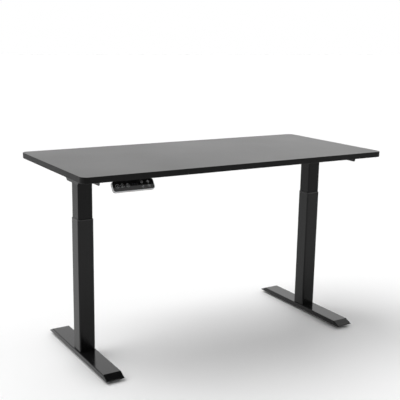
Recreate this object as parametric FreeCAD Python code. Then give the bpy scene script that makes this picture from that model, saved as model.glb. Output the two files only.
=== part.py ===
import FreeCAD, Part
import math
import os

from FreeCAD import Placement, Rotation
from FreeCAD import Vector as V

# Height adjustable standing desk: a laminate desktop on a steel frame with two
# motorised legs. Millimetres. X runs across the desk, Y from the user's side (-)
# to the back (+), Z up from the floor. The origin is on the floor, at the centre.
# Pieces are modelled on the right-hand side and mirrored to make the left.

# ---- Driving dimensions ----------------------------------------------------------
# Desktop
top_length = 1524.0
top_depth = 700.0
top_thickness = 25.0
top_corner = 30.0         # corner radius in plan
top_edge = 1.5            # rounding along the upper and lower edges

# Lifting columns
column_spacing = 1236.0   # between the two column centres
column_height = 596.0     # outer column with its collar, above the foot
column_size = 72.0
column_wall = 1.5
column_corner = 6.5
slider_room = 1.5         # between the inner column and the outer one's bore, each side
inner_wall = 1.5
inner_exposed = 156.0     # inner column showing below the side bracket at rest
shut_gap = 6.0            # what still shows at the lowest height
least_overlap = 80.0      # inner column left in the outer one at full height
base_plate = 8.0
end_clearance = 8.0       # inner column's end above the base plate, fully lowered
slide_gap = 0.1           # between a glide and the face it runs on
collar_flange = 5.0
collar_bevel = 2.0
collar_skirt = 40.0
glide_length = 30.0       # slider ring at the inner column's lower end

# Feet and levelling glides
foot_length = 637.0
foot_width = 83.0
foot_height = 19.0
foot_wall = 3.0
foot_bend = 3.0           # outside radius of the pressed edges
bevel_run = 34.0
bevel_drop = 16.0
pad_radius = 24.0
pad_height = 8.0
pad_rounding = 1.2
pad_floor = 2.0           # rubber left under the stud's end
pad_gap = 4.0             # between the pad and the foot's rim, wound right in
pad_inset = 72.0          # pad centre from the foot's end
stud_radius = 4.0
nut_above_rim = 1.0       # glide's weld nut starts this far above the foot's rim
glide_hexagon = 4.0       # height of the stud's hexagon
hexagon_gap = 0.2         # between the pad and the hexagon
stud_end_gap = 1.0        # between the stud's top and the foot's plate
glide_travel = 10.0       # how far a glide winds out

# Side brackets and rails
bracket_length = 553.0
bracket_room = 11.0       # from the inner column's face to the web's outer face
bracket_sheet = 2.5
bracket_flange = 32.0
bracket_deep = 60.0       # height of the web over the column
bracket_end = 26.0        # height of the web at its ends
bracket_deep_half = 58.0  # half length of the deep stretch, at the bottom
bracket_slant = 32.0
bracket_corner = 8.0      # rounding of the web's lower end corners
bolt_room = 14.0          # from the inner column's face to the rail's outer face
rail_height = 38.0
rail_flange = 18.0
rail_sheet = 2.0
rail_gap = 256.0          # between the two pairs of outer rails
centre_rail_length = 800.0
centre_rail_height = 30.0
centre_rail_width = 15.0
centre_rail_wall = 1.5
rail_clearance = 0.25     # between a centre rail and the outer rail around it
cross_plate_width = 36.0
cross_plate_sheet = 2.0
inner_plate_reach = 302.0 # second cross plate's centre from the outer rail's end
buffer_height = 2.0       # rubber between the brackets and the desktop

# Drive
pan_length = 213.5
pan_taper = 28.0
column_plate = 4.0
column_plate_rim = 6.0    # plate beyond the inner column, towards the desk's ends
column_bolt_x = 24.0
spindle_radius = 7.0
journal_radius = 5.0
nut_length = 35.0
nut_drop = 27.0           # nut's top below the collar
push_tube_radius = 15.0
push_tube_wall = 3.0
wheel_radius = 11.0
wheel_teeth = 30
wheel_width = 12.0
worm_radius = 4.7
worm_gap = 0.3
shaft_radius = 3.0
motor_radius = 19.0
motor_length = 94.0
motor_above = 2.0         # room over the motor, under its cover
motor_below = 5.5         # room between the motor and the pan
motor_beside = 1.3        # room between the motor and a rail's lip
gearbox_half = 24.0       # along the motor
gearbox_wall = 3.0
gearbox_side = 11.3       # from the worm's axis to the front of the casting

# Control box
box_length = 229.0
box_width = 54.0
box_height = 30.0
box_wall = 2.0
cover_sheet = 1.5

# Handset
handset_x = -540.0
handset_length = 180.0
handset_height = 46.0
handset_depth = 13.0
handset_corner = 11.0
handset_tilt = 55.0       # face leans back by 90 less this from upright
handset_setback = 20.0    # face centre behind the desktop's front edge
handset_drop = 24.0       # face centre below the desktop
panel_border = 1.8
panel_thickness = 2.0
button_travel = 0.8
large_button = 9.0
small_button = 6.0
button_gap = 0.3

# Fasteners and fits
running_gap = 0.05        # radial, for shafts that turn and screws in their threads
hole_gap = 0.2            # radial, for plain holes
bolt_radius = 4.0         # M8, between foot and column
bolt_head = 13.0
plate_bolt_radius = 3.0   # M6, between column plate and pan
plate_bolt_head = 10.0
screw_radius = 2.5        # M5
wood_screw_radius = 2.0

# ---- Heights and places worked out from them --------------------------------------
column_x = column_spacing / 2
inner_opening = column_size - 2 * column_wall
inner_size = inner_opening - 2 * slider_room
bracket_offset = inner_size / 2 + bracket_room
drive_height = rail_sheet + motor_below + motor_radius
pan_depth = bracket_sheet + motor_above + motor_radius + drive_height
worm_y = -(wheel_radius + worm_gap + worm_radius)
z_foot = pad_height + pad_gap
z_column = z_foot + foot_height
z_base = z_column + base_plate
z_collar = z_column + column_height
z_bracket = z_collar + inner_exposed
z_frame = z_bracket + bracket_deep
z_desk = z_frame + buffer_height
z_rail = z_frame - bracket_sheet
z_rail_low = z_rail - rail_height
z_pan = z_frame - pan_depth
z_drive = z_pan + drive_height

lift_total = column_height - base_plate - end_clearance - least_overlap
lift_down = inner_exposed - shut_gap
lift_up = lift_total - lift_down

web_x = column_x + bracket_offset
rail_outer_x = web_x - bracket_sheet
rail_inner_x = rail_gap / 2
lip_below_drive = z_drive - z_rail_low - rail_sheet
motor_reach = math.sqrt(max(motor_radius ** 2 - lip_below_drive ** 2, 0.0)) - worm_y
half_frame = max(inner_size / 2 + bolt_room, motor_reach + motor_beside + rail_flange)
frame_depth = 2 * half_frame
pan_inner_x = rail_outer_x - pan_length
z_inner_low = z_collar - lift_up - least_overlap
screw_y = half_frame - rail_flange / 2
motor_x = column_x - gearbox_half
motor_end_x = motor_x - motor_length
flange_x = web_x - bracket_flange
slot_x = flange_x + (bracket_flange - bracket_sheet) / 2
slot_places = (190.0, 110.0)
buffer_places = (255.0, 150.0)
foot_bolt_offset = 20.0
column_bolt_y = (inner_size / 2 + half_frame - rail_sheet) / 2 + 0.5
column_bolts = [(sx * column_bolt_x, sy * column_bolt_y) for sx in (-1, 1) for sy in (-1, 1)]


# ---- Small helpers -----------------------------------------------------------------
def box(x0, x1, y0, y1, z0, z1):
    return Part.makeBox(x1 - x0, y1 - y0, z1 - z0, V(x0, y0, z0))


def rod(radius, x, y, z0, z1):
    return Part.makeCylinder(radius, z1 - z0, V(x, y, z0), V(0, 0, 1))


def rod_x(radius, x0, x1, y, z):
    return Part.makeCylinder(radius, x1 - x0, V(x0, y, z), V(1, 0, 0))


def hexagon(across, x, y, z0, z1):
    corners = [V(x + across / math.sqrt(3) * math.cos(math.radians(60 * k)),
                 y + across / math.sqrt(3) * math.sin(math.radians(60 * k)), z0)
               for k in range(7)]
    return Part.Face(Part.makePolygon(corners)).extrude(V(0, 0, z1 - z0))


def upright_edges(shape):
    return [e for e in shape.Edges if len(e.Vertexes) == 2
            and abs(e.Vertexes[0].X - e.Vertexes[1].X) < 1e-6
            and abs(e.Vertexes[0].Y - e.Vertexes[1].Y) < 1e-6]


def block(length, depth, corner, z0, z1, x=0.0, y=0.0):
    """Upright block centred on x, y with rounded corners in plan."""
    body = box(x - length / 2, x + length / 2, y - depth / 2, y + depth / 2, z0, z1)
    return body.makeFillet(corner, upright_edges(body))


def side_profile(points, x0, x1):
    """Solid whose outline in Y and Z is extruded along X."""
    wire = Part.makePolygon([V(x0, y, z) for y, z in points + points[:1]])
    return Part.Face(wire).extrude(V(x1 - x0, 0, 0))


def slot(x, y, width, length, z0, z1):
    """Oblong hole tool, long way along Y."""
    half = (length - width) / 2
    middle = box(x - width / 2, x + width / 2, y - half, y + half, z0, z1)
    return middle.fuse([rod(width / 2, x, y - half, z0, z1), rod(width / 2, x, y + half, z0, z1)])


def joined(shapes):
    return shapes[0].fuse(shapes[1:]).removeSplitter() if len(shapes) > 1 else shapes[0]


def mirrored(shape):
    return shape.mirror(V(0, 0, 0), V(1, 0, 0))


def group(shapes):
    return Part.makeCompound(shapes)


def both_sides(shape):
    return [shape, mirrored(shape)]


# ---- Feet, levelling glides and outer columns -----------------------------------------
def foot():
    """Pressed steel channel, open below, bevelled at both ends."""
    half, low, high = foot_length / 2, z_foot, z_foot + foot_height
    outline = [(-half, low), (-half, high - bevel_drop), (bevel_run - half, high),
               (half - bevel_run, high), (half, high - bevel_drop), (half, low)]
    x0, x1 = column_x - foot_width / 2, column_x + foot_width / 2
    body = side_profile(outline, x0, x1)
    pressed = [e for e in body.Edges if e.BoundBox.XLength < 1e-6
               and e.BoundBox.ZMax > low + 1e-6 and e.BoundBox.YLength > 1e-6]
    body = body.makeFillet(foot_bend, pressed)
    wire = Part.makePolygon([V(x0 + foot_wall, y, z) for y, z in outline + outline[:1]])
    hollow = Part.Face(wire.makeOffset2D(-foot_wall)).extrude(V(foot_width - 2 * foot_wall, 0, 0))
    slope = bevel_run / bevel_drop
    under_bevel = (foot_height - bevel_drop - foot_wall) * slope - foot_wall * math.hypot(1.0, slope)
    reach = half + min(-foot_wall, under_bevel)
    mouth = box(x0 + foot_wall, x1 - foot_wall, -reach, reach, low - 1, low + foot_wall + 0.1)
    body = body.cut([hollow, mouth])
    weld_nuts = [rod(2 * stud_radius, column_x, y, z_foot + nut_above_rim, high - foot_wall)
                 for y in glide_places()]
    body = joined([body] + weld_nuts)
    threads = [rod(stud_radius + running_gap, column_x, y, z_foot, high - foot_wall - 0.5)
               for y in glide_places()]
    holes = [rod(bolt_radius + hole_gap, column_x + dx, dy, low, high + 1)
             for dx, dy in foot_bolt_places()]
    return body.cut(threads + holes)


def glide_places():
    reach = foot_length / 2 - pad_inset
    return (-reach, reach)


def foot_bolt_places():
    return [(sx * foot_bolt_offset, sy * foot_bolt_offset) for sx in (-1, 1) for sy in (-1, 1)]


def glide_pad(y):
    """Round pad with a socket that the stud turns in."""
    pad = rod(pad_radius, column_x, y, 0, pad_height)
    rims = [e for e in pad.Edges if isinstance(e.Curve, Part.Circle)]
    pad = pad.makeFillet(pad_rounding, rims)
    return pad.cut(rod(stud_radius + running_gap, column_x, y, pad_floor, pad_height + 1))


def glide_stud(y):
    """Threaded stud with the hexagon that winds it."""
    high = z_column - foot_wall - stud_end_gap
    low = pad_height + hexagon_gap
    stem = rod(stud_radius, column_x, y, pad_floor + running_gap, high)
    return joined([stem, hexagon(bolt_head, column_x, y, low, low + glide_hexagon)])


def outer_column():
    """Square tube closed at the foot by its base plate."""
    body = block(column_size, column_size, column_corner, z_column, z_collar - collar_flange, column_x)
    bore = block(inner_opening, inner_opening, column_corner - column_wall,
                 z_base, z_collar, column_x)
    holes = [rod(bolt_radius + running_gap, column_x + dx, dy, z_column - 1, z_base + 1)
             for dx, dy in foot_bolt_places()]
    return body.cut([bore] + holes)


def foot_bolts():
    under = z_column - foot_wall
    bolts = []
    for dx, dy in foot_bolt_places():
        x = column_x + dx
        bolts.append(joined([hexagon(bolt_head, x, dy, under - 5.0, under),
                             rod(bolt_radius, x, dy, under, z_base - 1.0)]))
    return group(bolts)


def column_collar():
    """Plastic guide in the mouth of the outer column, with a trim flange on top."""
    opening = inner_size + 2 * slide_gap
    corner = column_corner - column_wall - (inner_opening - opening) / 2
    z0 = z_collar - collar_flange
    flange = block(column_size, column_size, column_corner, z0, z_collar, column_x)
    flange = flange.makeChamfer(collar_bevel, [e for e in flange.Edges if e.BoundBox.ZMin > z_collar - 1e-6])
    skirt_size = inner_opening - 2 * running_gap
    skirt = block(skirt_size, skirt_size, column_corner - column_wall - running_gap,
                  z0 - collar_skirt, z0, column_x)
    bore = block(opening, opening, corner, z0 - collar_skirt - 1, z_collar + 1, column_x)
    return joined([flange, skirt]).cut(bore)


def push_tube():
    """Tube that stands on the base plate and carries the spindle nut."""
    top = z_collar - nut_drop - nut_length
    body = joined([rod(push_tube_radius, column_x, 0, z_base, top),
                   rod(push_tube_radius + 5.0, column_x, 0, z_base, z_base + 5.0)])
    return body.cut(rod(push_tube_radius - push_tube_wall, column_x, 0, z_base - 1, top + 1))


def spindle_nut():
    top = z_collar - nut_drop
    low = top - nut_length
    body = joined([rod(push_tube_radius + 3.0, column_x, 0, low, low + 6.0),
                   rod(push_tube_radius - 1.0, column_x, 0, low + 6.0, top)])
    return body.cut(rod(spindle_radius + running_gap, column_x, 0, low - 1, top + 1))


# ---- Inner columns and the drive -------------------------------------------------------
def inner_column():
    """Square tube welded under the plate that bolts to the motor pan."""
    corner = column_corner - column_wall - (inner_opening - inner_size) / 2
    under = z_pan - column_plate
    tube = block(inner_size, inner_size, corner, z_inner_low, under, column_x)
    plate_half = inner_size / 2 + column_plate_rim
    plate = box(column_x - plate_half, column_x + plate_half, 1.0 - half_frame, half_frame - 1.0,
                under, z_pan)
    bore_size = inner_size - 2 * inner_wall
    bore = block(bore_size, bore_size, corner - inner_wall, z_inner_low - 1, under, column_x)
    holes = [rod(plate_bolt_radius + hole_gap, column_x + dx, dy, under - 1, z_pan + 1)
             for dx, dy in column_bolts]
    return joined([tube, plate]).cut([bore, rod(16.0, column_x, 0, under - 1, z_pan + 1)] + holes)


def inner_glide():
    """Slider ring round the inner column's lower end."""
    size = inner_opening - 2 * slide_gap
    inside = inner_size + 2 * running_gap
    corner = column_corner - column_wall
    z1 = z_inner_low + glide_length
    ring = block(size, size, corner - slide_gap, z_inner_low, z1, column_x)
    inside_corner = corner - (inner_opening - inside) / 2
    return ring.cut(block(inside, inside, inside_corner, z_inner_low - 1, z1 + 1, column_x))


def motor_pan():
    """Folded steel tray under the rails, tapered towards the middle of the desk."""
    low, high = z_pan, z_rail_low
    outline = [V(pan_inner_x, -half_frame, high), V(pan_inner_x + pan_taper, -half_frame, low),
               V(rail_outer_x, -half_frame, low), V(rail_outer_x, -half_frame, high)]
    body = Part.Face(Part.makePolygon(outline + outline[:1])).extrude(V(0, frame_depth, 0))
    sheet = rail_sheet
    run = pan_taper / (high - low)
    inside = [V(pan_inner_x + sheet * 1.6, sheet - half_frame, high + 1),
              V(pan_inner_x + sheet * 1.6 + run * (high + 1 - low - sheet), sheet - half_frame, low + sheet),
              V(rail_outer_x - sheet, sheet - half_frame, low + sheet),
              V(rail_outer_x - sheet, sheet - half_frame, high + 1)]
    hollow = Part.Face(Part.makePolygon(inside + inside[:1])).extrude(V(0, frame_depth - 2 * sheet, 0))
    holes = [rod(14.0, column_x, 0, low - 1, low + sheet + 1)]
    holes += [rod(plate_bolt_radius + hole_gap, column_x + dx, dy, low - 1, low + sheet + 1)
              for dx, dy in column_bolts]
    holes += [rod(screw_radius + hole_gap, x, y, low - 1, low + sheet + 1) for x, y in pan_screws()]
    holes += [rod_x(screw_radius + hole_gap, rail_outer_x - sheet - 1, rail_outer_x + 1, y, bracket_screw_z())
              for y in bracket_screw_places()]
    return body.cut([hollow] + holes)


def pan_screws():
    return [(x, sy * screw_y) for x in (motor_end_x + 5.0, motor_x - 34.0) for sy in (-1, 1)]


def bracket_screw_places():
    return (0.5 - screw_y, screw_y - 0.5)


def bracket_screw_z():
    return (z_pan + z_rail_low) / 2


def gearbox():
    """Casting over the column: worm wheel on the spindle, worm beside it."""
    x0, x1 = column_x - gearbox_half, column_x + gearbox_half
    z0, z1 = z_pan + rail_sheet, z_drive + motor_radius - 0.5
    y0, y1 = worm_y - gearbox_side, wheel_radius + 2 * gearbox_wall
    body = box(x0, x1, y0, y1, z0, z1)
    body = body.makeFillet(4.0, upright_edges(body))
    wheel_room = rod(wheel_radius + 1.0, column_x, 0, z_drive - wheel_width / 2 - 2.5,
                     z_drive + wheel_width / 2 + 2.5)
    worm_room = rod_x(worm_radius + 1.3, column_x - 16.0, column_x + 16.0, worm_y, z_drive)
    bores = [rod(spindle_radius + running_gap, column_x, 0, z0 - 1, z_drive),
             rod(journal_radius + running_gap, column_x, 0, z_drive, z_drive + 15.0),
             rod_x(shaft_radius + running_gap, x0 - 1, column_x + 19.0, worm_y, z_drive)]
    return body.cut([wheel_room, worm_room] + bores)


def motor():
    """Motor can with its mounting flange, end cap and plug socket."""
    flange = rod_x(motor_radius, motor_x - 5.0, motor_x, worm_y, z_drive)
    can = rod_x(motor_radius - 0.5, motor_end_x + 4.0, motor_x - 5.0, worm_y, z_drive)
    cap = rod_x(motor_radius - 4.0, motor_end_x, motor_end_x + 4.0, worm_y, z_drive)
    socket = box(motor_end_x + 4.0, motor_end_x + 20.0, worm_y + motor_radius - 5.0,
                 worm_y + motor_radius + 7.0, z_drive - 6.0, z_drive + 6.0)
    room = rod_x(motor_radius - 2.5, motor_end_x + 8.0, motor_x - 8.0, worm_y, z_drive)
    bore = rod_x(shaft_radius + running_gap, motor_end_x + 2.0, motor_x + 1, worm_y, z_drive)
    pins = box(motor_end_x + 3.0, motor_end_x + 7.5, worm_y + motor_radius - 1.0,
               worm_y + motor_radius + 5.0, z_drive - 4.0, z_drive + 4.0)
    return joined([flange, can, cap, socket]).cut([room, bore, pins])


def motor_rotor():
    """Motor shaft with its armature and the worm cut on its end."""
    shaft = rod_x(shaft_radius, motor_end_x + 2.5, column_x + 18.5, worm_y, z_drive)
    armature = rod_x(9.0, motor_end_x + 25.0, motor_x - 25.0, worm_y, z_drive)
    worm = rod_x(worm_radius, column_x - 12.0, column_x + 12.0, worm_y, z_drive)
    body = joined([shaft, armature, worm])
    pitch = 4.0
    for k in range(6):
        x = column_x - 12.0 + pitch * (k + 0.25)
        ring = rod_x(worm_radius + 1, x, x + pitch / 2, worm_y, z_drive)
        body = body.cut(ring.cut(rod_x(worm_radius - 1.2, x - 1, x + pitch, worm_y, z_drive)))
    return body


def spindle():
    """Lifting screw, hung from the gearbox. Its thread is left plain."""
    low = z_base + lift_down + 11.0
    shoulder = z_drive + wheel_width / 2
    return joined([rod(spindle_radius, column_x, 0, low, shoulder),
                   rod(journal_radius, column_x, 0, shoulder, z_drive + 14.5)])


def worm_wheel():
    low = z_drive - wheel_width / 2
    outline = []
    for k in range(wheel_teeth):
        for share, radius in ((0.0, 1.5), (0.2, 0.0), (0.5, 0.0), (0.7, 1.5)):
            turn = 2 * math.pi * (k + share) / wheel_teeth
            outline.append(V(column_x + (wheel_radius - radius) * math.cos(turn),
                             (wheel_radius - radius) * math.sin(turn), low))
    body = Part.Face(Part.makePolygon(outline + outline[:1])).extrude(V(0, 0, wheel_width))
    return body.cut(rod(spindle_radius + running_gap, column_x, 0, low - 1, low + wheel_width + 1))


# ---- Brackets and rails ------------------------------------------------------------------
def side_bracket():
    """L-shaped arm under the desktop's end, deeper over the column."""
    half, deep = bracket_length / 2, bracket_deep_half
    z_end = z_frame - bracket_end
    outline = [(-half, z_frame), (-half, z_end), (-deep - bracket_slant, z_end), (-deep, z_bracket),
               (deep, z_bracket), (deep + bracket_slant, z_end), (half, z_end), (half, z_frame)]
    web = side_profile(outline, rail_outer_x, web_x)
    tips = [e for e in web.Edges if e.BoundBox.YLength < 1e-6 and e.BoundBox.ZMax < z_end + 1e-6
            and abs(e.BoundBox.YMin) > half - 1e-6]
    web = web.makeFillet(bracket_corner, tips)
    flange = box(flange_x, web_x, -half, half, z_rail, z_frame)
    body = joined([web, flange])
    bend = [e for e in body.Edges if e.BoundBox.XMin > web_x - 1e-6 and e.BoundBox.ZMin > z_frame - 1e-6
            and e.BoundBox.YLength > bracket_length / 2]
    body = body.makeFillet(bracket_sheet - 0.3, bend)
    holes = [slot(slot_x, sy * y, 8.0, 26.0, z_rail - 1, z_frame + 1)
             for y in slot_places for sy in (-1, 1)]
    holes += [rod_x(screw_radius + hole_gap, rail_outer_x - 1, web_x + 1, y, bracket_screw_z())
              for y in bracket_screw_places()]
    return body.cut(holes)


def bracket_buffers():
    """Rubber blocks that the desktop rests on."""
    width = bracket_flange - bracket_sheet - 4.0
    return [block(width, 30.0, 4.0, z_frame, z_desk, slot_x, sy * y)
            for y in buffer_places for sy in (-1, 1)]


def outer_rail():
    """Front C-shaped rail, open towards the middle of the frame."""
    x0, x1, y0 = rail_inner_x, rail_outer_x, -half_frame
    body = box(x0, x1, y0, y0 + rail_flange, z_rail_low, z_rail)
    body = body.cut(box(x0 - 1, x1 + 1, y0 + rail_sheet, y0 + rail_flange + 1,
                        z_rail_low + rail_sheet, z_rail - rail_sheet))
    holes = [rod(screw_radius + hole_gap, x, -screw_y, z_rail - rail_sheet - 1, z_rail + 1)
             for x in plate_screw_places() + cover_screw_places() + [-x for x in lid_screw_places()]]
    holes += [rod(screw_radius + hole_gap, x, y, z_rail_low - 1, z_rail_low + rail_sheet + 1)
              for x, y in pan_screws() if y < 0]
    return body.cut(holes)


def outer_rails():
    rail = outer_rail()
    return group([rail, rail.mirror(V(0, 0, 0), V(0, 1, 0))])


def plate_centres():
    first = rail_inner_x + cross_plate_width / 2
    return (first, rail_inner_x + inner_plate_reach)


def plate_screw_places():
    return [c + dx for c in plate_centres() for dx in (-9.0, 9.0)]


def cover_screw_places():
    return [motor_end_x - 4.0, flange_x - 8.0]


def centre_rail():
    """Front box-section rail that telescopes inside the outer rails."""
    y0 = rail_sheet + rail_clearance - half_frame
    z1 = z_rail - rail_sheet - rail_clearance
    half = centre_rail_length / 2
    wall = centre_rail_wall
    body = box(-half, half, y0, y0 + centre_rail_width, z1 - centre_rail_height, z1)
    body = body.cut(box(-half - 1, half + 1, y0 + wall, y0 + centre_rail_width - wall,
                        z1 - centre_rail_height + wall, z1 - wall))
    return body.cut([rod(screw_radius + running_gap, sx * x, -screw_y, z1 - wall - 1, z1 + 1)
                     for x in plate_screw_places() if x < half for sx in (-1, 1)])


def centre_rails():
    rail = centre_rail()
    return group([rail, rail.mirror(V(0, 0, 0), V(0, 1, 0))])


def cross_plates():
    plates = []
    for centre in plate_centres():
        plate = block(cross_plate_width, frame_depth - 3.0, 3.0, z_rail, z_rail + cross_plate_sheet, centre)
        plate = plate.cut([rod(screw_radius + hole_gap, centre + dx, sy * screw_y, z_rail - 1, z_desk)
                           for dx in (-9.0, 9.0) for sy in (-1, 1)])
        plates += both_sides(plate)
    return group(plates)


def motor_cover():
    """Flat lid over the motor, screwed to the two rails."""
    x0, x1 = motor_end_x - 12.0, flange_x - 1.0
    lid = block(x1 - x0, frame_depth - 4.0, 3.0, z_rail, z_rail + cover_sheet, (x0 + x1) / 2)
    return lid.cut([rod(screw_radius + hole_gap, x, sy * screw_y, z_rail - 1, z_desk)
                    for x in cover_screw_places() for sy in (-1, 1)])


def low_screw(x, y, seat, depth):
    """Low-headed screw driven down into a rail from above."""
    head = rod(4.5, x, y, seat, seat + 1.5)
    head = head.cut(hexagon(3.0, x, y, seat + 0.6, seat + 2.0))
    return joined([head, rod(screw_radius, x, y, seat - depth, seat)])


def frame_screws():
    """Every bolt and screw that holds the steel frame together."""
    screws = []
    under = z_pan - column_plate
    for dx, dy in column_bolts:
        x = column_x + dx
        screws.append(joined([hexagon(plate_bolt_head, x, dy, under - 4.0, under),
                              rod(plate_bolt_radius, x, dy, under, z_pan + rail_sheet + 5.5),
                              hexagon(plate_bolt_head, x, dy, z_pan + rail_sheet, z_pan + rail_sheet + 5.0)]))
    for x, y in pan_screws():
        screws.append(joined([rod(4.5, x, y, z_pan - 3.0, z_pan),
                              rod(screw_radius, x, y, z_pan, z_rail_low + rail_sheet + 2.0)]))
    for y in bracket_screw_places():
        z = bracket_screw_z()
        screws.append(joined([rod_x(4.5, web_x, web_x + 3.0, y, z),
                              rod_x(screw_radius, rail_outer_x - rail_sheet - 4.0, web_x, y, z)]))
    for x in plate_screw_places():
        screws += [low_screw(x, sy * screw_y, z_rail + cross_plate_sheet, 6.5) for sy in (-1, 1)]
    for x in cover_screw_places():
        screws += [low_screw(x, sy * screw_y, z_rail + cover_sheet, 6.0) for sy in (-1, 1)]
    return group([one for screw in screws for one in both_sides(screw)]
                 + [low_screw(x, sy * screw_y, z_rail + cover_sheet, cover_sheet + rail_sheet)
                    for x in lid_screw_places() for sy in (-1, 1)])


# ---- Control box between the left-hand rails -----------------------------------------------
def box_ends():
    x1 = -rail_inner_x - cross_plate_width - 7.0
    return x1 - box_length, x1


def lid_screw_places():
    x0, x1 = box_ends()
    return (x0 + 6.0, x1 - 6.0)


def socket_places():
    """Mains inlet, two motor sockets and the handset socket: centre and width in Y."""
    return [(-14.0, 20.0), (1.5, 8.0), (10.5, 8.0), (19.5, 8.0)]


def control_box_base():
    x0, x1 = box_ends()
    z1 = z_rail
    z0 = z1 - box_height
    half = box_width / 2
    body = box(x0, x1, -half, half, z0, z1)
    room = box(x0 + box_wall, x1 - box_wall, box_wall - half, half - box_wall, z0 + box_wall, z1 + 1)
    body = body.cut(room)
    posts = [rod(2.5, x, y, z0 + box_wall - 0.5, z0 + box_wall + 2.0)
             for x in (x0 + 14.0, x1 - 14.0) for y in (-18.0, 18.0)]
    body = joined([body] + posts)
    cuts = [box(x0 - 1, x0 + box_wall + 1, y - w / 2, y + w / 2, z0 + 7.0, z0 + 19.0)
            for y, w in socket_places()]
    cuts += [box(x1 - 90.0 + 9.0 * k, x1 - 86.0 + 9.0 * k, -12.0, 12.0, z0 - 1, z0 + box_wall + 1)
             for k in range(8)]
    return body.cut(cuts)


def control_box_lid():
    x0, x1 = box_ends()
    lid = block(x1 - x0 + 4.0, frame_depth - 4.0, 3.0, z_rail, z_rail + cover_sheet, (x0 + x1) / 2)
    return lid.cut([rod(screw_radius + hole_gap, x, sy * screw_y, z_rail - 1, z_desk)
                    for x in lid_screw_places() for sy in (-1, 1)])


def control_board():
    """Circuit board with its transformer, capacitors, relays and sockets."""
    x0, x1 = box_ends()
    low = z_rail - box_height + box_wall + 2.0
    top = low + 1.6
    board = box(x0 + 3.0, x1 - 6.0, -24.0, 24.0, low, top)
    parts = [board, box(x1 - 72.0, x1 - 32.0, -20.0, 16.0, top, top + 18.0)]
    parts += [rod(6.0, x0 + 60.0 + 16.0 * k, -15.0, top, top + 17.0) for k in range(3)]
    parts += [box(x0 + 40.0 + 22.0 * k, x0 + 58.0 + 22.0 * k, 4.0, 18.0, top, top + 14.0) for k in range(4)]
    z0 = z_rail - box_height
    for y, w in socket_places():
        half = w / 2 - 0.3
        socket = box(x0 - 0.5, x0 + 16.0, y - half, y + half, z0 + 7.3, z0 + 18.7)
        foot = box(x0 + 4.0, x0 + 16.0, y - half, y + half, top, z0 + 7.3)
        recess = box(x0 - 1, x0 + 3.0, y - half + 1.2, y + half - 1.2, z0 + 8.5, z0 + 17.5)
        parts += [socket.cut(recess), foot]
    return joined(parts)


# ---- Desktop -----------------------------------------------------------------------------------
def desktop():
    top = z_desk + top_thickness
    body = block(top_length, top_depth, top_corner, z_desk, top)
    rims = [e for e in body.Edges if e.BoundBox.ZLength < 1e-6]
    body = body.makeFillet(top_edge, rims)
    pilots = [rod(wood_screw_radius + running_gap, x, y, z_desk - 1, z_desk + 16.0)
              for x, y in wood_screw_places()]
    return body.cut(pilots)


def wood_screw_places():
    return bracket_wood_screws() + handset_wood_screws()


def bracket_wood_screws():
    return [(sx * slot_x, sy * y) for sx in (-1, 1) for y in slot_places for sy in (-1, 1)]


def handset_wood_screws():
    return [(handset_x + dx, handset_lug_y()) for dx in (-30.0, 30.0)]


def wood_screw(x, y, seat):
    head = rod(5.5, x, y, seat - 2.5, seat).cut(hexagon(4.0, x, y, seat - 3.0, seat - 1.2))
    return joined([head, rod(wood_screw_radius, x, y, seat, z_desk + 15.0)])


def desktop_screws():
    return group([wood_screw(x, y, z_rail) for x, y in bracket_wood_screws()]
                 + [wood_screw(x, y, z_desk - lug_thickness) for x, y in handset_wood_screws()])


# ---- Handset under the front edge -----------------------------------------------------------------
# Modelled lying flat, with its face at height 0 and looking up, then tipped into place.
lug_thickness = 3.5
large_places = [(-70.0, 0.5), (-47.5, 0.5), (-25.0, 0.5)]
small_places = [(38.0, 9.5), (66.0, 9.5), (38.0, -9.5), (66.0, -9.5)]
display_size = (34.0, 14.0)
display_centre = (6.5, 3.0)
board_low = -7.6
board_high = -6.0


def handset_centre():
    return V(handset_x, handset_setback - top_depth / 2, z_desk - handset_drop)


def handset_lug_y():
    return handset_centre().y + 48.0


def seated(shape):
    """Tips a piece of the handset from flat into its place under the desktop."""
    placed = shape.copy()
    placed.Placement = Placement(handset_centre(), Rotation(V(1, 0, 0), handset_tilt))
    return placed


def handset_shell():
    """Hollow back shell and the wedge that screws it to the desktop."""
    shell = block(handset_length, handset_height, handset_corner, -handset_depth, -0.3)
    back = [e for e in shell.Edges if e.BoundBox.ZMax < 1e-6 - handset_depth]
    shell = seated(shell.makeFillet(3.0, back))
    c = handset_centre()
    wedge = side_profile([(c.y + 17.0, z_desk), (c.y + 57.0, z_desk), (c.y + 57.0, z_desk - lug_thickness),
                          (c.y + 34.0, z_desk - lug_thickness), (c.y + 24.0, z_desk - 20.0),
                          (c.y + 16.0, z_desk - 22.0), (c.y + 15.0, z_desk - 8.0)],
                         handset_x - 45.0, handset_x + 45.0)
    recess = block(handset_length - 2 * panel_border, handset_height - 2 * panel_border,
                   handset_corner - panel_border, -panel_thickness, 1.0)
    room = block(handset_length - 9.0, handset_height - 9.0, handset_corner - 4.5,
                 2.0 - handset_depth, 0.0)
    port = box(60.0, 74.0, -handset_height / 2 - 1, 6.0 - handset_height / 2, board_low - 3.0, board_low)
    body = joined([shell, wedge]).cut([seated(recess), seated(room), seated(port)])
    return body.cut([rod(wood_screw_radius + hole_gap, x, y, z_desk - 10.0, z_desk + 1)
                     for x, y in handset_wood_screws()])


def handset_face():
    """Front panel with its button holes and display window."""
    gap = 0.1
    panel = block(handset_length - 2 * (panel_border + gap), handset_height - 2 * (panel_border + gap),
                  handset_corner - panel_border - gap, -panel_thickness, 0.2)
    holes = [rod(large_button, x, y, -9, 9) for x, y in large_places]
    holes += [rod(small_button, x, y, -9, 9) for x, y in small_places]
    holes.append(block(display_size[0], display_size[1], 1.5, -9, 9, *display_centre))
    return seated(panel.cut(holes))


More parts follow.
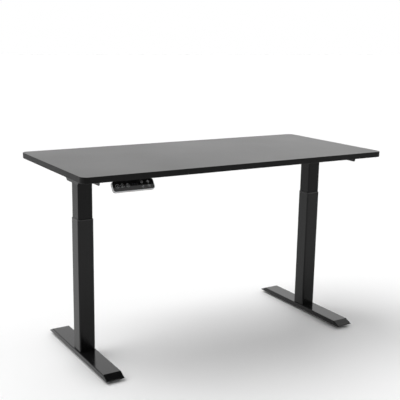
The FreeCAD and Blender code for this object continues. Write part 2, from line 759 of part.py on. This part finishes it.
def handset_display():
    """Window and the display module behind it."""
    gap = 0.1
    x, y = display_centre
    w, d = display_size
    window = block(w - 2 * gap, d - 2 * gap, 1.4, -panel_thickness - 0.1, 0.1, x, y)
    module = block(w + 3.0, d + 3.0, 1.0, board_high, -panel_thickness - 0.1, x, y)
    return seated(joined([window, module]))


def handset_board():
    """Circuit board with one dome switch under each button and the cable socket."""
    board = block(handset_length - 11.0, handset_height - 11.0, 4.0, board_low, board_high)
    domes = [rod(2.5, x, y, board_high - 0.2, button_seat() - button_travel - 0.1)
             for x, y in large_places + small_places]
    socket = box(61.0, 73.0, 6.2 - handset_height / 2, 16.0 - handset_height / 2, board_low - 2.8, board_low)
    return seated(joined([board] + domes + [socket]))


def button_seat():
    return -panel_thickness - 1.2


def button(place, radius):
    """Cap with the collar that keeps it behind the panel."""
    x, y = place
    cap = rod(radius - button_gap, x, y, button_seat(), 0.8)
    crown = [e for e in cap.Edges if e.BoundBox.ZMin > 0.7]
    cap = cap.makeFillet(0.4, crown)
    collar = rod(radius + 0.9, x, y, button_seat(), -panel_thickness - 0.15)
    return seated(joined([cap, collar]))


# ---- Writing the parts ---------------------------------------------------------------------------
def save(name, shape):
    assert shape.isValid(), name
    shape.exportStep(os.path.join("parts", name + ".step"))


os.makedirs("parts", exist_ok=True)

side_pieces = {
    "foot": foot, "outer_column": outer_column, "foot_bolts": foot_bolts,
    "column_collar": column_collar, "push_tube": push_tube, "spindle_nut": spindle_nut,
    "inner_column": inner_column, "motor_pan": motor_pan, "gearbox": gearbox, "motor": motor,
    "motor_rotor": motor_rotor, "spindle": spindle, "worm_wheel": worm_wheel,
    "side_bracket": side_bracket, "outer_rails": outer_rails,
}
for piece, make in side_pieces.items():
    shape = make()
    save("right_" + piece, shape)
    save("left_" + piece, mirrored(shape))

for end, y in zip(("front", "back"), glide_places()):
    for piece, make in (("glide_pad", glide_pad), ("glide_stud", glide_stud)):
        save("right_" + end + "_" + piece, make(y))
        save("left_" + end + "_" + piece, mirrored(make(y)))

save("inner_glides", group(both_sides(inner_glide())))
save("motor_covers", group(both_sides(motor_cover())))
save("bracket_buffers", group([one for pad in bracket_buffers() for one in both_sides(pad)]))
save("centre_rails", centre_rails())
save("cross_plates", cross_plates())
save("frame_screws", frame_screws())
save("control_box_base", control_box_base())
save("control_box_lid", control_box_lid())
save("control_board", control_board())
save("desktop", desktop())
save("desktop_screws", desktop_screws())
save("handset_shell", handset_shell())
save("handset_face", handset_face())
save("handset_display", handset_display())
save("handset_board", handset_board())
for name, place in zip(("memory_1_button", "memory_2_button", "memory_3_button"), large_places):
    save(name, button(place, large_button))
for name, place in zip(("up_button", "set_button", "down_button", "timer_button"), small_places):
    save(name, button(place, small_button))

print("desk surface", z_desk + top_thickness, "lift", -lift_down, lift_up, "glides down to", -glide_travel,
      "pieces", len(os.listdir("parts")))
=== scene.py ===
import math

import bmesh
import bpy
from mathutils import Matrix, Vector


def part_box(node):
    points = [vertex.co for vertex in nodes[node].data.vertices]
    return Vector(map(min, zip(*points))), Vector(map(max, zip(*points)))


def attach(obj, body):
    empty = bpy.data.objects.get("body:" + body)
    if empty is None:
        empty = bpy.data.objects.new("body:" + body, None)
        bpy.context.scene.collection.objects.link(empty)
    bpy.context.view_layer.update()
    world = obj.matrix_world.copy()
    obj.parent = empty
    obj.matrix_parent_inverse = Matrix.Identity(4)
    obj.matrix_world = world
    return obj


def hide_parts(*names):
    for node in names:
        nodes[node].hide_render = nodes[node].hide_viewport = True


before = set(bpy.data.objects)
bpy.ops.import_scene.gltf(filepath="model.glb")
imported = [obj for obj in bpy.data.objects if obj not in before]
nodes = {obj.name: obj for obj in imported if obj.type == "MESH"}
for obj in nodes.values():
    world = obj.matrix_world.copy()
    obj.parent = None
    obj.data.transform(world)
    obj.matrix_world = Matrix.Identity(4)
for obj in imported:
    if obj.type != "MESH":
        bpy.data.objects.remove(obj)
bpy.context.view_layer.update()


# ---- Camera ----------------------------------------------------------------------------
# It stands in front of the desk and well to its left, a little above the desktop,
# and looks along to the far leg. A long lens keeps the legs close to upright.
camera_place = Vector((-1.843, -2.944, 1.405))
camera_bearing = math.radians(31.6)
camera_dip = math.radians(12.4)
camera_roll = math.radians(1.0)

camera = bpy.data.objects.new("camera", bpy.data.cameras.new("camera"))
bpy.context.scene.collection.objects.link(camera)
camera.data.sensor_width = 36.0
camera.data.lens = 68.5
camera.data.clip_end = 60.0
turned = (Matrix.Rotation(-camera_bearing, 4, "Z") @ Matrix.Rotation(math.pi / 2 - camera_dip, 4, "X")
          @ Matrix.Rotation(camera_roll, 4, "Z"))
camera.matrix_world = Matrix.Translation(camera_place) @ turned
bpy.context.scene.camera = camera
bpy.context.scene.view_settings.view_transform = "Standard"


# ---- Floor -----------------------------------------------------------------------------
# A plain pale studio floor, wide enough to run out of every view. It is painted
# board with a faint unevenness in its sheen.
class Value:
    """A number or colour in a material. Arithmetic on a number adds Math nodes."""

    def __init__(self, finish, socket):
        self.finish = finish
        self.socket = socket

    def maths(self, operation, *values, **settings):
        inputs = dict(enumerate(values))
        return self.finish.add("ShaderNodeMath", {"operation": operation, **settings}, inputs)

    def __add__(self, other):
        return self.maths("ADD", self, other)

    __radd__ = __add__

    def __sub__(self, other):
        return self.maths("SUBTRACT", self, other)

    def __rsub__(self, other):
        return self.maths("SUBTRACT", other, self)

    def __mul__(self, other):
        return self.maths("MULTIPLY", self, other)

    __rmul__ = __mul__

    def __truediv__(self, other):
        return self.maths("DIVIDE", self, other)

    def __pow__(self, other):
        return self.maths("POWER", self, other)

    def above(self, edge):
        return self.maths("GREATER_THAN", self, edge)

    def below(self, edge):
        return self.maths("LESS_THAN", self, edge)

    def size(self):
        return self.maths("ABSOLUTE", self)


class Finish:
    """A material being built round one shader."""

    def __init__(self, name, **shader):
        self.material = bpy.data.materials.new(name)
        self.material.use_nodes = True
        self.tree = self.material.node_tree
        self.tree.nodes.clear()
        self.shader = self.tree.nodes.new("ShaderNodeBsdfPrincipled")
        output = self.tree.nodes.new("ShaderNodeOutputMaterial")
        self.tree.links.new(self.shader.outputs[0], output.inputs[0])
        self.place = self.add("ShaderNodeTexCoord", output="Object")
        for socket, value in shader.items():
            self.set(socket.replace("_", " "), value)

    def add(self, kind, settings=None, inputs=None, output=0):
        node = self.tree.nodes.new(kind)
        for key, value in (settings or {}).items():
            if key == "stops":
                ramp = node.color_ramp
                while len(ramp.elements) < len(value):
                    ramp.elements.new(1.0)
                for stop, (position, colour) in zip(ramp.elements, value):
                    stop.position = position
                    shade = colour if isinstance(colour, tuple) else (colour, colour, colour)
                    stop.color = (*shade, 1.0)
            else:
                setattr(node, key, value)
        for key, value in (inputs or {}).items():
            self.feed(node.inputs[key], value)
        return Value(self, node.outputs[output])

    def feed(self, socket, value):
        if isinstance(value, Value):
            self.tree.links.new(value.socket, socket)
        elif isinstance(value, tuple) and len(value) == 3 and socket.type == "RGBA":
            socket.default_value = (*value, 1.0)
        else:
            socket.default_value = value

    def set(self, socket, value):
        self.feed(self.shader.inputs[socket], value)

    def axis(self, letter):
        split = self.add("ShaderNodeSeparateXYZ", inputs={0: self.place}, output="XYZ".index(letter))
        return split

    def noise(self, scale, detail=2.0, place=None):
        return self.add("ShaderNodeTexNoise", inputs={"Vector": place or self.place, "Scale": scale,
                                                      "Detail": detail})

    def cells(self, scale, output="Distance"):
        return self.add("ShaderNodeTexVoronoi", inputs={"Vector": self.place, "Scale": scale},
                        output=output)

    def ramp(self, value, *stops):
        return self.add("ShaderNodeValToRGB", {"stops": stops}, {"Fac": value})

    def blend(self, share, colour_a, colour_b):
        return self.add("ShaderNodeMix", {"data_type": "RGBA"}, {0: share, 6: colour_a, 7: colour_b},
                        output=2)

    def stretched(self, x, y, z):
        return self.add("ShaderNodeMapping", inputs={"Vector": self.place, "Scale": (x, y, z)})

    def bump(self, height, distance, strength=1.0):
        normal = self.add("ShaderNodeBump", inputs={"Strength": strength, "Distance": distance,
                                                    "Height": height})
        self.set("Normal", normal)


def paint(finish, *names):
    for name in names:
        material_slots = nodes[name].data.materials
        material_slots.clear()
        material_slots.append(finish.material)


def piece_from(mesh, name, finish, body=None):
    """Turns a finished bmesh into an object, and rides it on a body."""
    data = bpy.data.meshes.new(name)
    mesh.to_mesh(data)
    mesh.free()
    data.materials.append(finish.material)
    piece = bpy.data.objects.new(name, data)
    bpy.context.scene.collection.objects.link(piece)
    if body:
        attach(piece, body)
    return piece


floor_size = 40.0
floor_paint = Finish("floor_paint", Roughness=0.6)
floor_mottle = floor_paint.noise(3.0)
floor_paint.set("Base Color", floor_paint.blend(floor_mottle, (0.93, 0.93, 0.93), (0.95, 0.95, 0.95)))
floor_mesh = bmesh.new()
bmesh.ops.create_grid(floor_mesh, x_segments=1, y_segments=1, size=floor_size)
floor = piece_from(floor_mesh, "floor", floor_paint)


# ---- Studio light ----------------------------------------------------------------------
# White walls all round, brightest at the back on the right and dark behind the camera,
# so that faces turned to the front stay dark. A wide soft sun stands for the ceiling
# lights, and a softbox stands on the left.
world = bpy.data.worlds.new("studio")
bpy.context.scene.world = world
world.use_nodes = True
sky = world.node_tree
sky.nodes.clear()
direction = sky.nodes.new("ShaderNodeTexCoord")
towards_bright = sky.nodes.new("ShaderNodeVectorMath")
towards_bright.operation = "DOT_PRODUCT"
towards_bright.inputs[1].default_value = (0.8, 0.6, 0.0)
sky.links.new(direction.outputs["Generated"], towards_bright.inputs[0])
dark_to_bright = sky.nodes.new("ShaderNodeMapRange")
dark_to_bright.inputs["From Min"].default_value = -0.6
dark_to_bright.inputs["From Max"].default_value = 0.95
dark_to_bright.inputs["To Min"].default_value = 0.03
dark_to_bright.inputs["To Max"].default_value = 1.3
sky.links.new(towards_bright.outputs["Value"], dark_to_bright.inputs["Value"])
camera_ray = sky.nodes.new("ShaderNodeLightPath")
shown = sky.nodes.new("ShaderNodeMix")
shown.inputs["B"].default_value = 1.0
sky.links.new(camera_ray.outputs["Is Camera Ray"], shown.inputs["Factor"])
sky.links.new(dark_to_bright.outputs[0], shown.inputs["A"])
background = sky.nodes.new("ShaderNodeBackground")
background.inputs["Color"].default_value = (1.0, 1.0, 1.0, 1.0)
sky.links.new(shown.outputs[0], background.inputs["Strength"])
world_output = sky.nodes.new("ShaderNodeOutputWorld")
sky.links.new(background.outputs[0], world_output.inputs[0])

sun = bpy.data.objects.new("soft_sun", bpy.data.lights.new("soft_sun", "SUN"))
bpy.context.scene.collection.objects.link(sun)
sun.data.energy = 1.9
sun.data.angle = math.radians(50)
sun.rotation_euler = (math.radians(-18), math.radians(-24), 0.0)


def soft_lamp(name, place, aim, width, power):
    lamp = bpy.data.objects.new(name, bpy.data.lights.new(name, "AREA"))
    bpy.context.scene.collection.objects.link(lamp)
    lamp.data.shape = "SQUARE"
    lamp.data.size = width
    lamp.data.energy = power
    lamp.location = place
    lamp.rotation_euler = (Vector(aim) - Vector(place)).to_track_quat("-Z", "Y").to_euler()
    lamp.visible_camera = False


soft_lamp("left_lamp", (-4.2, 0.2, 1.8), (0, 0, 0.5), 2.2, 22.0)


# ---- Feet ------------------------------------------------------------------------------
# Each foot is a channel pressed from 3 mm steel, with bevelled ends, sprayed with
# black powder that bakes to a fine orange peel.
def powder_coat(name, tone, roughness, grain=900.0, depth=0.00001, shine=0.34):
    """Baked black powder: an even, glossy near-black, finely pebbled, a little uneven in sheen."""
    coat = Finish(name, Specular_IOR_Level=shine)
    cloud = coat.noise(9.0, 3.0)
    pebble = coat.noise(grain, 2.0)
    coat.set("Base Color", coat.blend(cloud, (tone, tone, tone * 1.04),
                                      (tone * 1.35, tone * 1.35, tone * 1.4)))
    coat.set("Roughness", roughness + 0.08 * (cloud - 0.5) + 0.06 * (pebble - 0.5))
    coat.bump(pebble, depth)
    return coat


foot_coat = powder_coat("foot_coat", 0.005, 0.16)
paint(foot_coat, "left_foot", "right_foot")


# ---- Levelling glides ------------------------------------------------------------------
# A rubber-soled pad on a threaded steel stud, screwed into each end of each foot.
def rubber(name, tone):
    """Moulded black rubber, dull and faintly dusty."""
    skin = Finish(name, Specular_IOR_Level=0.3)
    dust = skin.noise(160.0, 4.0)
    skin.set("Base Color", skin.blend(dust, (tone, tone, tone), (tone * 2, tone * 2, tone * 2)))
    skin.set("Roughness", 0.7 + 0.2 * dust)
    skin.bump(dust, 0.0001)
    return skin


def zinc_plate(name, cool=(0.5, 0.51, 0.53), warm=(0.62, 0.6, 0.55)):
    """Bright zinc plating with a faint yellow-blue cast and fine turning marks."""
    plate = Finish(name, Metallic=1.0)
    cast = plate.noise(60.0, 2.0)
    marks = plate.noise(500.0, 2.0, plate.stretched(1.0, 1.0, 6.0))
    plate.set("Base Color", plate.blend(cast, cool, warm))
    plate.set("Roughness", 0.25 + 0.2 * marks)
    plate.bump(marks, 0.00002)
    return plate


def threaded_zinc(name, x, y, pitch):
    """Zinc plate over a right-hand thread that climbs one pitch a turn round x, y."""
    plate = zinc_plate(name)
    across, along = plate.axis("X") - x, plate.axis("Y") - y
    turn = along.maths("ARCTAN2", along, across) / (2 * math.pi)
    tooth = (plate.axis("Z") / pitch - turn).maths("PINGPONG", plate.axis("Z") / pitch - turn, 0.5)
    plate.bump(tooth, 0.0005)
    return plate


glides = [f"{side}_{end}_glide" for side in ("left", "right") for end in ("front", "back")]
pad_rubber = rubber("pad_rubber", 0.018)
paint(pad_rubber, *[glide + "_pad" for glide in glides])
for glide in glides:
    stud_low, stud_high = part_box(glide + "_stud")
    stud_x, stud_y = (stud_low.x + stud_high.x) / 2, (stud_low.y + stud_high.y) / 2
    paint(threaded_zinc(glide + "_zinc", stud_x, stud_y, 0.00125), glide + "_stud")


# ---- Columns ---------------------------------------------------------------------------
# Square steel tubes, the inner sliding in the outer. The inner one is coated
# smoother, so that it runs easily through the plastic collar.
column_coat = powder_coat("column_coat", 0.003, 0.2, shine=0.26)
inner_coat = powder_coat("inner_coat", 0.003, 0.2, 1500.0, 0.000006, 0.16)
paint(column_coat, "left_outer_column", "right_outer_column")
paint(inner_coat, "left_inner_column", "right_inner_column")


def moulded(name, colour, roughness):
    """Moulded plastic with a fine spark-eroded texture."""
    plastic = Finish(name)
    texture = plastic.noise(1400.0, 2.0)
    tint = tuple(min(1.0, c * 1.12) for c in colour)
    plastic.set("Base Color", plastic.blend(plastic.noise(14.0), colour, tint))
    plastic.set("Roughness", roughness + 0.1 * (texture - 0.5))
    plastic.bump(texture, 0.00002)
    return plastic


paint(moulded("collar_plastic", (0.018, 0.018, 0.018), 0.38), "left_column_collar", "right_column_collar")
paint(moulded("glide_plastic", (0.62, 0.61, 0.56), 0.4), "inner_glides")
paint(zinc_plate("bolt_zinc"), "left_foot_bolts", "right_foot_bolts")


# ---- Drive -----------------------------------------------------------------------------
# In each leg a motor turns a worm, the worm turns a bronze wheel on the lifting
# spindle, and the spindle climbs in a plastic nut on top of the push tube.
def machined(name, colour, roughness, along):
    """Bare metal with fine tool marks across the given stretch."""
    metal = Finish(name, Metallic=1.0)
    marks = metal.noise(300.0, 3.0, metal.stretched(*along))
    metal.set("Base Color", metal.blend(marks, colour, tuple(c * 0.8 for c in colour)))
    metal.set("Roughness", roughness + 0.2 * (marks - 0.5))
    metal.bump(marks, 0.00002)
    return metal


def trim(mesh, place, outward):
    """Cuts everything beyond a plane off a mesh and closes the end."""
    bmesh.ops.bisect_plane(mesh, geom=mesh.verts[:] + mesh.edges[:] + mesh.faces[:], dist=1e-7,
                           plane_co=place, plane_no=outward, clear_outer=True)
    bmesh.ops.holes_fill(mesh, edges=[edge for edge in mesh.edges if edge.is_boundary], sides=0)


def lifting_screw(side, steel):
    """Rolled four-start screw, 16 mm of lift a turn, with a plain shank and journal on top."""
    low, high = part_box(side + "_spindle")
    x, y = (low.x + high.x) / 2, (low.y + high.y) / 2
    crest, root, journal, pitch, starts, turns_in = 0.007, 0.0056, 0.005, 0.004, 4, 24
    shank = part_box(side + "_gearbox")[0].z
    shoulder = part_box(side + "_worm_wheel")[1].z
    lead = pitch * starts
    mesh = bmesh.new()
    outline = []
    for turn in range(round((shank - low.z + 2 * lead) / pitch) + 1):
        for share, radius in ((0.0, root), (0.3, root), (0.45, crest), (0.85, crest)):
            outline.append(mesh.verts.new((x + radius, y, low.z - lead + pitch * (turn + share))))
    edges = [mesh.edges.new(pair) for pair in zip(outline, outline[1:])]
    bmesh.ops.spin(mesh, geom=outline + edges, cent=(x, y, 0), axis=(0, 0, 1), angle=2 * math.pi,
                   dvec=(0, 0, lead / turns_in), steps=turns_in)
    bmesh.ops.remove_doubles(mesh, verts=mesh.verts[:], dist=1e-6)
    trim(mesh, (x, y, low.z), (0, 0, -1))
    trim(mesh, (x, y, shank), (0, 0, 1))
    for radius, bottom, top in ((crest, shank, shoulder), (journal, shoulder, high.z)):
        place = Matrix.Translation((x, y, (bottom + top) / 2))
        bmesh.ops.create_cone(mesh, cap_ends=True, segments=48, radius1=radius, radius2=radius,
                              depth=top - bottom, matrix=place)
    bmesh.ops.recalc_face_normals(mesh, faces=mesh.faces[:])
    screw = piece_from(mesh, side + "_lifting_thread", steel, side + "_lifting_screw")
    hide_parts(side + "_spindle")


def plate_weld(side, steel):
    """Fillet weld where the inner column meets its plate: a ripply bead round the square."""
    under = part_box(side + "_inner_column")[1].z - 0.004
    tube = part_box(side + "_column_collar")
    x, y = (tube[0].x + tube[1].x) / 2, (tube[0].y + tube[1].y) / 2
    half, corner, bead, sunk = 0.033, 0.0035, 0.0026, 0.0004
    mesh = bmesh.new()
    start = [mesh.verts.new((x + half - sunk, y - half + corner, under - bead)),
             mesh.verts.new((x + half + bead * 0.6, y - half + corner, under - bead * 0.6)),
             mesh.verts.new((x + half + bead, y - half + corner, under + sunk)),
             mesh.verts.new((x + half - sunk, y - half + corner, under + sunk))]
    rim = start + [mesh.edges.new((start[k - 1], start[k])) for k in range(4)]
    across, turn = Vector((0, 1, 0)), Matrix.Rotation(math.pi / 2, 3, "Z")
    centre = Vector((x + half - corner, y + half - corner, 0))
    for _ in range(4):
        ends = bmesh.ops.extrude_edge_only(mesh, edges=[e for e in rim if isinstance(e, bmesh.types.BMEdge)])
        rim = ends["geom"]
        rim = [e for e in rim if not isinstance(e, bmesh.types.BMFace)]
        bmesh.ops.translate(mesh, verts=[v for v in rim if isinstance(v, bmesh.types.BMVert)],
                            vec=across * 2 * (half - corner))
        bent = bmesh.ops.spin(mesh, geom=rim, cent=centre, axis=(0, 0, 1), angle=math.pi / 2, steps=6)
        rim = bent["geom_last"]
        across = turn @ across
        centre = Vector((x, y, 0)) + turn @ (centre - Vector((x, y, 0)))
    bmesh.ops.remove_doubles(mesh, verts=mesh.verts[:], dist=1e-5)
    bmesh.ops.recalc_face_normals(mesh, faces=mesh.faces[:])
    bead_piece = piece_from(mesh, side + "_plate_weld", steel, "frame_and_top")


def weld_paint(name):
    """Powder coat over the stacked ripples of a weld."""
    coat = powder_coat(name, 0.0045, 0.36)
    ripples = coat.noise(420.0, 1.0, coat.stretched(1.0, 1.0, 0.2))
    coat.bump(ripples, 0.0006)
    return coat


sides = ("left", "right")
screw_steel = machined("screw_steel", (0.5, 0.5, 0.52), 0.3, (1, 1, 4))
bead_coat = weld_paint("weld_coat")
for side in sides:
    lifting_screw(side, screw_steel)
    plate_weld(side, bead_coat)
paint(machined("push_tube_steel", (0.35, 0.35, 0.37), 0.4, (1, 1, 0.1)), *[s + "_push_tube" for s in sides])
paint(moulded("nut_plastic", (0.7, 0.69, 0.62), 0.35), *[s + "_spindle_nut" for s in sides])
paint(machined("spindle_steel", (0.5, 0.5, 0.52), 0.3, (1, 1, 4)), *[s + "_spindle" for s in sides])
paint(machined("wheel_bronze", (0.7, 0.48, 0.2), 0.3, (1, 1, 3)), *[s + "_worm_wheel" for s in sides])
paint(machined("shaft_steel", (0.5, 0.5, 0.52), 0.25, (4, 1, 1)), *[s + "_motor_rotor" for s in sides])
paint(machined("gearbox_alloy", (0.6, 0.6, 0.62), 0.45, (1, 1, 1)), *[s + "_gearbox" for s in sides])
paint(powder_coat("motor_coat", 0.015, 0.35), *[s + "_motor" for s in sides])


# ---- Frame -----------------------------------------------------------------------------
# Folded steel rails, brackets and pans, powder coated like the legs, and bolted
# together with plated screws.
paint(powder_coat("bracket_coat", 0.004, 0.24, shine=0.24), "left_side_bracket", "right_side_bracket")
paint(powder_coat("rail_coat", 0.004, 0.26, shine=0.24), "left_outer_rails", "right_outer_rails")
paint(powder_coat("centre_rail_coat", 0.004, 0.24, shine=0.24), "centre_rails")
paint(powder_coat("pan_coat", 0.004, 0.26, shine=0.24), "left_motor_pan", "right_motor_pan")
paint(powder_coat("cover_coat", 0.008, 0.28), "motor_covers", "control_box_lid")
paint(powder_coat("plate_coat", 0.006, 0.26), "cross_plates")
paint(zinc_plate("black_zinc", (0.07, 0.07, 0.075), (0.12, 0.115, 0.1)), "frame_screws")
paint(rubber("buffer_rubber", 0.015), "bracket_buffers")
paint(moulded("box_plastic", (0.012, 0.012, 0.013), 0.5), "control_box_base")


def populated_board(name, node):
    """Green board with a yellow-taped transformer, black capacitors and blue relays on it."""
    low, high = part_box(node)
    board = Finish(name, Specular_IOR_Level=0.5)
    along, across, up = board.axis("X") - low.x, board.axis("Y"), board.axis("Z") - low.z
    tracks = board.cells(260.0).below(0.18)
    green = board.blend(tracks, (0.015, 0.09, 0.035), (0.05, 0.17, 0.07))
    raised = up.above(0.0017)
    relay = raised * along.above(0.038) * along.below(0.13) * across.above(0.0)
    capacitor = raised * along.above(0.05) * along.below(0.1) * across.below(0.0)
    transformer = raised * along.above(0.14)
    plug = raised * along.below(0.02)
    colour = board.blend(relay, green, (0.02, 0.09, 0.3))
    colour = board.blend(capacitor, colour, (0.012, 0.012, 0.014))
    colour = board.blend(transformer, colour, (0.62, 0.42, 0.05))
    colour = board.blend(plug, colour, (0.8, 0.79, 0.74))
    board.set("Base Color", colour)
    board.set("Roughness", 0.35 + 0.15 * board.noise(300.0))
    board.bump(tracks, 0.00004)
    return board


paint(populated_board("circuit_board", "control_board"), "control_board")


# ---- Desktop ---------------------------------------------------------------------------
# Particle board faced with black melamine and edged with black banding. The melamine has a soft satin face
# with the faintest pearl texture pressed in. Its flat faces are painted lighter as painted sheen, and its
# edges darker as painted shade.
def melamine(name, tone, shaded_edge_tone):
    """Satin laminate on the flat faces, streaked along X and painted lighter as painted sheen, and black
    edging round the edge painted darker as painted shade.
    """
    face = Finish(name, Specular_IOR_Level=0.17)
    pearl = face.noise(650.0, 3.0)
    cloud = face.noise(2.2, 4.0)
    flat = face.add("ShaderNodeNewGeometry", output="Normal")
    level = face.add("ShaderNodeSeparateXYZ", inputs={0: flat}, output=2).size().above(0.8)
    grain = face.noise(30.0, 4.0, face.stretched(0.25, 3.0, 1.0))
    board = face.blend(0.5 * cloud + 0.5 * grain, (tone, tone * 0.98, tone * 0.95),
                       (tone * 1.3, tone * 1.28, tone * 1.25))
    shaded_edge_pale = shaded_edge_tone * 1.6
    shaded_edge_colour = face.blend(pearl, (shaded_edge_tone, shaded_edge_tone, shaded_edge_tone), (shaded_edge_pale, shaded_edge_pale, shaded_edge_pale))
    # Flat faces (normal up or down) take the lighter board colour as painted sheen; the edges take the
    # near-black colour, black edging darkened further as painted shade.
    face.set("Base Color", face.blend(level, shaded_edge_colour, board))
    face.set("Roughness", 0.44 - 0.1 * level + 0.1 * (cloud - 0.5) + 0.08 * (pearl - 0.5))
    face.bump(pearl, 0.00003)
    return face


paint(melamine("laminate", 0.026, 0.0015), "desktop")
paint(zinc_plate("wood_screw_zinc"), "desktop_screws")


# ---- Handset ---------------------------------------------------------------------------
# A moulded silver shell, painted dark grey behind as painted shade, with a glossy black front panel and
# seven keys in it. It is screwed up under the desktop.
def glossy(name, colour, roughness=0.08):
    """Polished plastic with faint flow marks."""
    plastic = Finish(name, Coat_Weight=0.5)
    flow = plastic.noise(40.0, 2.0)
    plastic.set("Base Color", plastic.blend(flow, colour, tuple(c * 1.2 for c in colour)))
    plastic.set("Roughness", roughness + 0.05 * flow)
    return plastic


def two_tone_shell(name):
    """Silver round the face, and the back of the shell painted dark grey as painted shade."""
    plastic = Finish(name)
    texture = plastic.noise(1400.0, 2.0)
    out = plastic.axis("Z") * math.cos(tilt) - plastic.axis("Y") * math.sin(tilt)
    level = handset_centre.z * math.cos(tilt) - handset_centre.y * math.sin(tilt)
    bezel_else_painted_shade = (out - level).above(-0.0065)
    # Shell more than 6.5 mm behind the handset centre, along the face's normal, is painted dark grey as
    # painted shade.
    plastic.set("Base Color", plastic.blend(bezel_else_painted_shade, (0.05, 0.05, 0.052), (0.6, 0.6, 0.61)))
    plastic.set("Roughness", 0.34 + 0.1 * (texture - 0.5))
    plastic.bump(texture, 0.00002)
    return plastic


tilt = math.radians(55.0)
handset_centre = Vector((-0.54, -0.33, 0.821))
seated = Matrix.Translation(handset_centre) @ Matrix.Rotation(tilt, 4, "X")
paint(two_tone_shell("shell_plastic"), "handset_shell")
paint(glossy("panel_gloss", (0.004, 0.004, 0.0045)), "handset_face")
paint(glossy("display_window", (0.003, 0.003, 0.004), 0.05), "handset_display")
paint(moulded("handset_circuit", (0.02, 0.1, 0.04), 0.4), "handset_board")
large_row = 0.0005
small_row = 0.0095
large_keys = {"memory_1": (-0.070, large_row), "memory_2": (-0.0475, large_row),
              "memory_3": (-0.025, large_row)}
small_keys = {"up": (0.038, small_row), "set": (0.066, small_row),
              "down": (0.038, -small_row), "timer": (0.066, -small_row)}
paint(glossy("ring_key_gloss", (0.006, 0.006, 0.0065), 0.15), *[key + "_button" for key in large_keys])
paint(glossy("small_key_gloss", (0.045, 0.045, 0.05), 0.2), *[key + "_button" for key in small_keys])
legend_white = moulded("legend_white", (0.7, 0.71, 0.72), 0.4)
unlit = moulded("unlit_segments", (0.02, 0.02, 0.022), 0.3)
cap_top = 0.0008


def printed(mesh, name, finish, body, centre, level):
    """Seats a flat print, drawn round 0, 0, on the handset at a level above its face."""
    bmesh.ops.transform(mesh, matrix=seated @ Matrix.Translation((*centre, level)), verts=mesh.verts[:])
    piece_from(mesh, name, finish, body)


def disc_ring(mesh, outer, inner, thick=0.00006, steps=48):
    """Adds a thin flat ring round 0, 0."""
    corners = [(inner, 0), (outer, 0), (outer, thick), (inner, thick)]
    loop = [mesh.verts.new((across, 0, up)) for across, up in corners]
    edges = [mesh.edges.new((loop[k - 1], loop[k])) for k in range(4)]
    bmesh.ops.spin(mesh, geom=loop + edges, cent=(0, 0, 0), axis=(0, 0, 1), angle=2 * math.pi,
                   steps=steps, use_merge=True)
    bmesh.ops.recalc_face_normals(mesh, faces=mesh.faces[:])


def bar(mesh, start, end, width, thick=0.00006):
    """Adds a straight stroke with clipped corners."""
    start, end = Vector(start), Vector(end)
    along = end - start
    place = (Matrix.Translation(((start.x + end.x) / 2, (start.y + end.y) / 2, thick / 2))
             @ Matrix.Rotation(math.atan2(along.y, along.x), 4, "Z")
             @ Matrix.Diagonal((along.length + width, width, thick, 1.0)))
    made = bmesh.ops.create_cube(mesh, size=1.0, matrix=place)
    upright = [edge for edge in {e for v in made["verts"] for e in v.link_edges}
               if abs(edge.verts[0].co.z - edge.verts[1].co.z) > thick / 2]
    bmesh.ops.bevel(mesh, geom=upright, offset=width * 0.42, affect="EDGES", segments=2, profile=0.5,
                    material=-1)


def numeral(text, size):
    """A figure as a bmesh, centred on 0, 0."""
    curve = bpy.data.curves.new("figure_" + text, "FONT")
    curve.body = text
    curve.size = size
    curve.extrude = 0.00003
    curve.align_x = "CENTER"
    curve.align_y = "CENTER"
    holder = bpy.data.objects.new("figure_" + text, curve)
    bpy.context.scene.collection.objects.link(holder)
    bpy.context.view_layer.update()
    data = bpy.data.meshes.new_from_object(holder)
    bpy.data.objects.remove(holder)
    mesh = bmesh.new()
    mesh.from_mesh(data)
    return mesh


for number, (key, centre) in enumerate(large_keys.items(), start=1):
    ring = bmesh.new()
    disc_ring(ring, 0.0079, 0.0072)
    printed(ring, key + "_ring", legend_white, key + "_key", centre, cap_top)
    printed(numeral(str(number), 0.0095), key + "_figure", legend_white, key + "_key",
            centre, cap_top + 0.00003)

for key, centre in small_keys.items():
    mark = bmesh.new()
    disc_ring(mark, 0.0053, 0.0047)
    if key in ("up", "down"):
        rise = 0.0014 if key == "up" else -0.0014
        for across in (-0.0024, 0.0024):
            bar(mark, (across, -rise, 0), (0, rise, 0), 0.0009)
    elif key == "set":
        for row in (-0.0019, 0.0, 0.0019):
            bar(mark, (-0.0022, row, 0), (0.0022, row, 0), 0.0008)
    else:
        bar(mark, (0, 0, 0), (0, 0.0028, 0), 0.0007)
        bar(mark, (0, 0, 0), (0.002, 0, 0), 0.0007)
    printed(mark, key + "_mark", legend_white, key + "_key", centre, cap_top)

digits = bmesh.new()
segment = 0.0021
for digit_x in (-0.0095, 0.0, 0.0095):
    for start, end in (((-1, 2), (1, 2)), ((-1, 0), (1, 0)), ((-1, -2), (1, -2)), ((-1, 0.2), (-1, 1.8)),
                       ((1, 0.2), (1, 1.8)), ((-1, -1.8), (-1, -0.2)), ((1, -1.8), (1, -0.2))):
        ends = [(digit_x + across * segment, up * segment, 0) for across, up in (start, end)]
        bar(digits, *ends, 0.0009)
printed(digits, "display_digits", unlit, "frame_and_top", (0.0065, 0.003), 0.0001)
